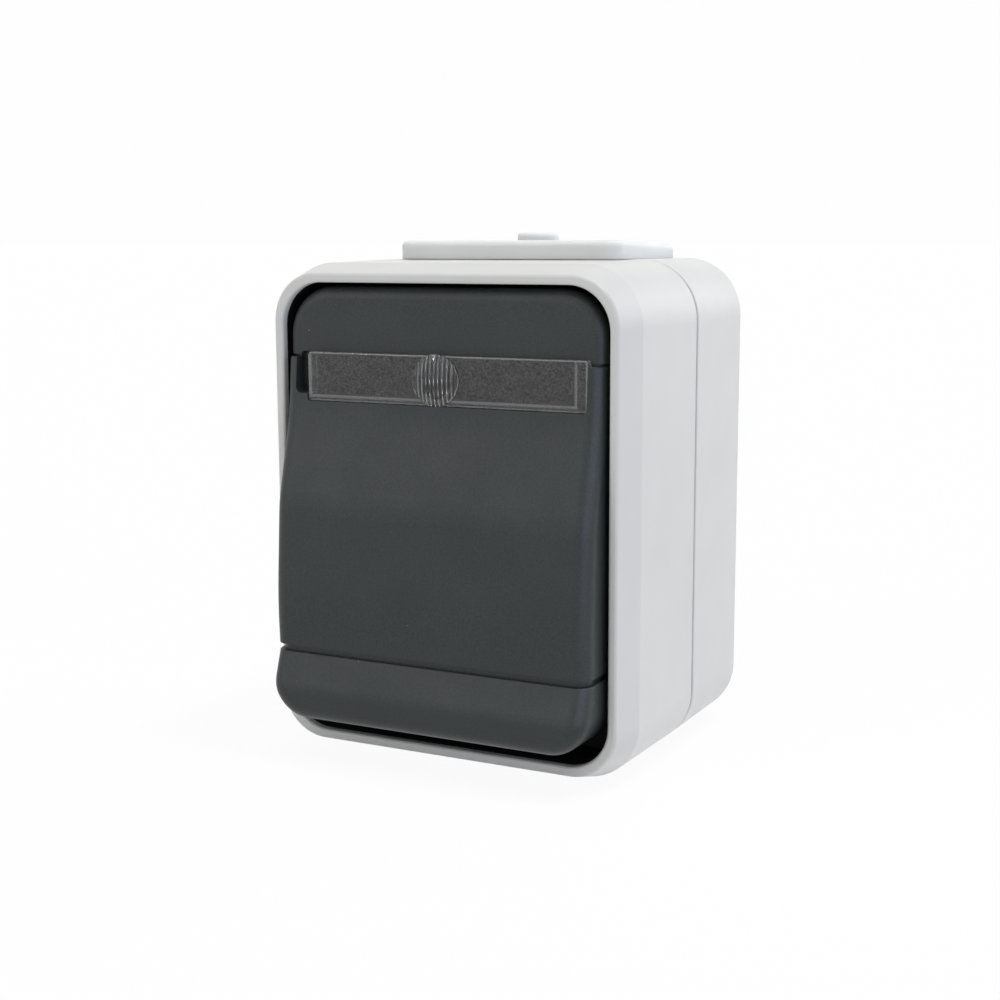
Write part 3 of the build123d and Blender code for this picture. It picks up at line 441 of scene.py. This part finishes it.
def lamp_glass():
    """Thin glass of the neon lamp, with a faint bloom."""
    material, tree, shader = new_material("lamp_glass")
    set_inputs(shader, IOR=GLASS_IOR, Transmission_Weight=1.0)
    smoke = spread(tree, noise(tree, SMOKE_SIZE, 2), 0, 1)
    colour = between(tree, smoke, tint(250, 246, 238), tint(236, 222, 206))
    feed(tree, shader.inputs["Base Color"], colour)
    feed(tree, shader.inputs["Roughness"], spread(tree, noise(tree, GLASS_PATCH_SIZE, 2), 0.02, 0.1))
    return material


def brass():
    """Bare brass of the contacts and clamps, with marks packed along Z."""
    return bare_metal("brass", tint(206, 176, 112), tint(182, 150, 88), 0.3, (1, 1, 6))


def silver():
    """Silver of the contact rivets."""
    return bare_metal("silver", tint(226, 225, 220), tint(198, 196, 190), 0.28)


def steel():
    """Zinc-plated steel of the screws, pin and spring, with marks packed along Y."""
    return bare_metal("steel", tint(196, 197, 200), tint(168, 169, 172), 0.32, (1, 4, 1))


FINISHES = {
    "housing_grey": housing_grey,
    "gasket_rubber": gasket_rubber,
    "black_rubber": black_rubber,
    "gland_rubber": gland_rubber,
    "rocker_anthracite": rocker_anthracite,
    "clear_plastic": clear_plastic,
    "lamp_glass": lamp_glass,
    "insert_black": insert_black,
    "insert_ivory": insert_ivory,
    "brass": brass,
    "silver": silver,
    "steel": steel,
}


def finish(piece, material):
    """Gives a piece one finish all over."""
    piece.data.materials.clear()
    piece.data.materials.append(material)


def dress_nodes():
    """Every node of the part gets the finish of its material slot, and the lens a clearer one."""
    finishes = {name: make() for name, make in FINISHES.items()}
    for row in frame["record"]["subparts"]:
        finish(nodes[row["node"]], finishes[row["material_slot"]])
    finish(nodes["lens"], lens_plastic())
    return finishes


def spring_coil(material):
    """The return spring, as its own smooth-shaded wire fixed to the housing."""
    shape = bmesh.new()
    shape.from_mesh(nodes["return_spring"].data)
    bmesh.ops.remove_doubles(shape, verts=shape.verts, dist=MERGE_DISTANCE)
    for face in shape.faces:
        face.smooth = True
    mesh = bpy.data.meshes.new("return_spring_coil")
    shape.to_mesh(mesh)
    shape.free()
    coil = bpy.data.objects.new("return_spring_coil", mesh)
    bpy.context.scene.collection.objects.link(coil)
    finish(coil, material)
    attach(coil, "housing")
    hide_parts("return_spring")
    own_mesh(coil)


# Studio

def camera():
    """Camera at the photograph's angle."""
    back = Vector((
        sin(CAMERA_AZIMUTH) * cos(CAMERA_ELEVATION),
        -cos(CAMERA_AZIMUTH) * cos(CAMERA_ELEVATION),
        sin(CAMERA_ELEVATION),
    ))
    level = (-back).cross(Vector((0, 0, 1))).normalized()
    upright = level.cross(-back)
    right = level * cos(CAMERA_ROLL) + upright * sin(CAMERA_ROLL)
    up = upright * cos(CAMERA_ROLL) - level * sin(CAMERA_ROLL)
    data = bpy.data.cameras.new("camera")
    data.sensor_width = SENSOR_WIDTH
    data.lens = FOCAL_LENGTH
    data.clip_start = NEAREST_SEEN
    data.clip_end = FARTHEST_SEEN
    eye = bpy.data.objects.new("camera", data)
    turn = Matrix((right, up, back)).transposed().to_4x4()
    spot = back * CAMERA_DISTANCE - right * CAMERA_ASIDE - up * CAMERA_DOWN
    eye.matrix_world = Matrix.Translation(spot) @ turn
    bpy.context.scene.collection.objects.link(eye)
    bpy.context.scene.camera = eye


def seen_directly(tree):
    """1 where a ray comes straight from the camera, or by gloss or glass, so that these show white."""
    path = tree.nodes.new("ShaderNodeLightPath")
    total = path.outputs["Is Camera Ray"]
    for name in ("Is Glossy Ray", "Is Transmission Ray"):
        total = plain_math(tree, "MAXIMUM", total, path.outputs[name])
    return total


def mix_surfaces(tree, factor, first, second, output):
    """Sends a mix of two shaders, by a factor, to the surface of an output node."""
    mix = tree.nodes.new("ShaderNodeMixShader")
    tree.links.new(factor, mix.inputs["Fac"])
    tree.links.new(first.outputs[0], mix.inputs[1])
    tree.links.new(second.outputs[0], mix.inputs[2])
    tree.links.new(mix.outputs[0], tree.nodes[output].inputs["Surface"])


def world():
    """Plain soft light from all round, and white behind the object."""
    room = bpy.data.worlds.new("room")
    bpy.context.scene.world = room
    room.use_nodes = True
    tree = room.node_tree
    light = tree.nodes["Background"]
    light.inputs["Color"].default_value = (*ROOM_COLOUR, 1)
    light.inputs["Strength"].default_value = ROOM_LIGHT
    white = tree.nodes.new("ShaderNodeBackground")
    white.inputs["Color"].default_value = (BACKDROP_WHITE, BACKDROP_WHITE, BACKDROP_WHITE, 1)
    mix_surfaces(tree, seen_directly(tree), light, white, "World Output")


def floor():
    """Pale floor that melts into the white behind it and keeps a light shadow of the object."""
    mesh = bpy.data.meshes.new("floor")
    shape = bmesh.new()
    bmesh.ops.create_grid(shape, x_segments=1, y_segments=1, size=FLOOR_SIZE / 2)
    bmesh.ops.translate(shape, verts=shape.verts, vec=(0, 0, cad_low.z))
    shape.to_mesh(mesh)
    shape.free()
    ground = bpy.data.objects.new("floor", mesh)
    bpy.context.scene.collection.objects.link(ground)
    material, tree, shader = new_material("floor_white")
    grey = (FLOOR_GREY, FLOOR_GREY, FLOOR_GREY, 1)
    set_inputs(shader, Base_Color=grey, Roughness=0.9, Specular_IOR_Level=0.1)
    glow = tree.nodes.new("ShaderNodeEmission")
    glow.inputs["Color"].default_value = (FLOOR_WHITE, FLOOR_WHITE, FLOOR_WHITE, 1)
    share = plain_math(tree, "MULTIPLY", seen_directly(tree), 1 - FLOOR_SHADOW_SHARE)
    mix_surfaces(tree, share, shader, glow, "Material Output")
    finish(ground, material)


def sun(name, towards, share, angle, colour=(1, 1, 1), only_gloss=False):
    """Far soft light from a direction. Its share is what it adds to a face that looks straight at it."""
    data = bpy.data.lights.new(name, "SUN")
    data.energy = share * pi
    data.angle = radians(angle)
    data.color = colour
    lamp = bpy.data.objects.new(name, data)
    lamp.rotation_mode = "QUATERNION"
    lamp.rotation_quaternion = Vector(towards).to_track_quat("Z", "Y")
    lamp.visible_diffuse = not only_gloss
    bpy.context.scene.collection.objects.link(lamp)


def lights():
    """Broad light and a lamp from above, soft light from the left, cool light from the right."""
    sun("overhead", (0.0, -0.12, 1.0), 0.46, 50)
    sun("ceiling_lamp", (0.33, 0.1, 0.94), 0.32, 8)
    sun("front_left", (-0.43, -0.84, 0.34), 0.14, 60)
    sun("cool_card", (0.95, -0.3, 0.06), 0.21, 32, (0.83, 0.96, 1.36))
    sun("cool_sheen", (0.7, -0.7, 0.09), 0.17, 25, (0.68, 0.88, 1.25), only_gloss=True)
    sun("cool_rear", (0.6, 0.7, 0.3), 0.26, 40, (0.97, 0.99, 1.04))
    sun("window", (-0.51, -0.78, 0.36), 0.04, 6)


finishes = dress_nodes()
spring_coil(finishes["steel"])
camera()
world()
floor()
lights()
bpy.context.scene.view_settings.view_transform = "Standard"
